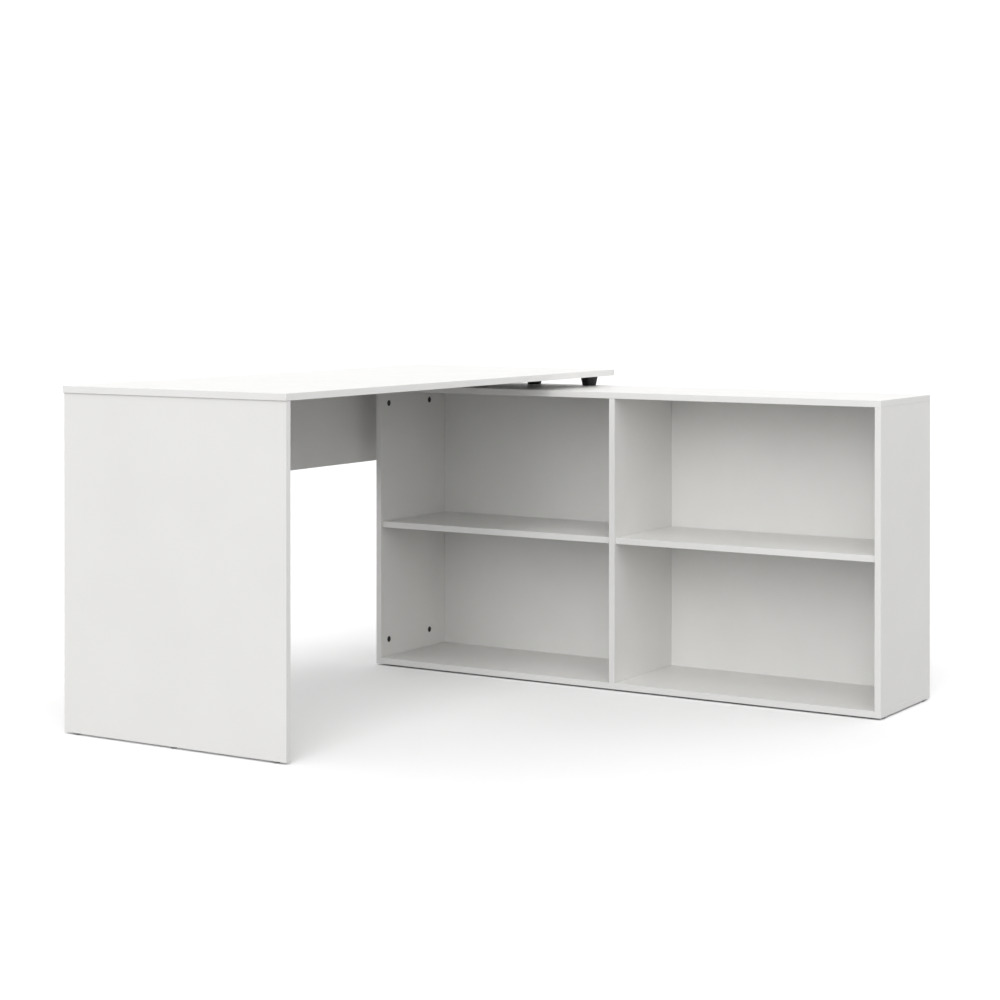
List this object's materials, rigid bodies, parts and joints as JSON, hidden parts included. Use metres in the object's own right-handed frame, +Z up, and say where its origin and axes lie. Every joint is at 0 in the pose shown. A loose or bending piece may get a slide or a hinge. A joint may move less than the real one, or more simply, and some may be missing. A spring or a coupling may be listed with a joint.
{
  "type": "corner desk",
  "caption": "L-shaped white corner desk: a desktop on a panel leg and a low open bookcase with shelves.",
  "frame": {"origin": "on the floor, under the middle of the footprint's bounding box", "axes": "+X along the bookcase towards its free end, +Y towards the back of the bookcase, +Z up"},
  "size_m": [1.441, 1.374, 0.75],
  "materials": {
    "white_board": "white melamine laminate on particleboard, fine satin, with matching edging",
    "white_back": "white lacquered hardboard",
    "black_plastic": "black moulded plastic, fine grain",
    "cam_zinc": "die-cast zinc, dark passivated",
    "zinc_steel": "bright zinc plated steel",
    "insert_brass": "turned brass",
    "beech": "raw beech, fluted",
    "glide_plastic": "dark grey moulded plastic"
  },
  "bodies": {
    "root": {"desktop": "white_board", "leg_panel": "white_board", "modesty_panel": "white_board", "case_top": "white_board", "case_bottom": "white_board", "left_side": "white_board", "right_side": "white_board", "divider": "white_board", "shelf_left": "white_board", "shelf_right": "white_board", "back_panel_left": "white_back", "back_panel_right": "white_back", "spacer_left": "black_plastic", "spacer_middle": "black_plastic", "spacer_right": "black_plastic", "spacer_screws": "zinc_steel", "spacer_inserts": "insert_brass", "cam_locks_left_side": "cam_zinc", "cam_locks_divider": "cam_zinc", "cam_locks_right_side": "cam_zinc", "cam_locks_shelf_left": "cam_zinc", "cam_locks_shelf_right": "cam_zinc", "cam_locks_leg": "cam_zinc", "cam_locks_modesty": "cam_zinc", "cam_bolts_case_top": "zinc_steel", "cam_bolts_case_bottom": "zinc_steel", "cam_bolts_left_side": "zinc_steel", "cam_bolts_right_side": "zinc_steel", "double_bolts_divider": "zinc_steel", "cam_bolts_desktop": "zinc_steel", "cam_bolts_leg": "zinc_steel", "dowels_case_top": "beech", "dowels_case_bottom": "beech", "dowels_left_side": "beech", "dowels_right_side": "beech", "long_dowels_divider": "beech", "dowels_leg": "beech", "dowels_modesty": "beech", "leg_glides": "glide_plastic", "leg_glide_pins": "zinc_steel", "case_glides": "glide_plastic", "case_glide_pins": "zinc_steel", "back_nails_left": "zinc_steel", "back_nails_right": "zinc_steel"}
  },
  "joints": []
}
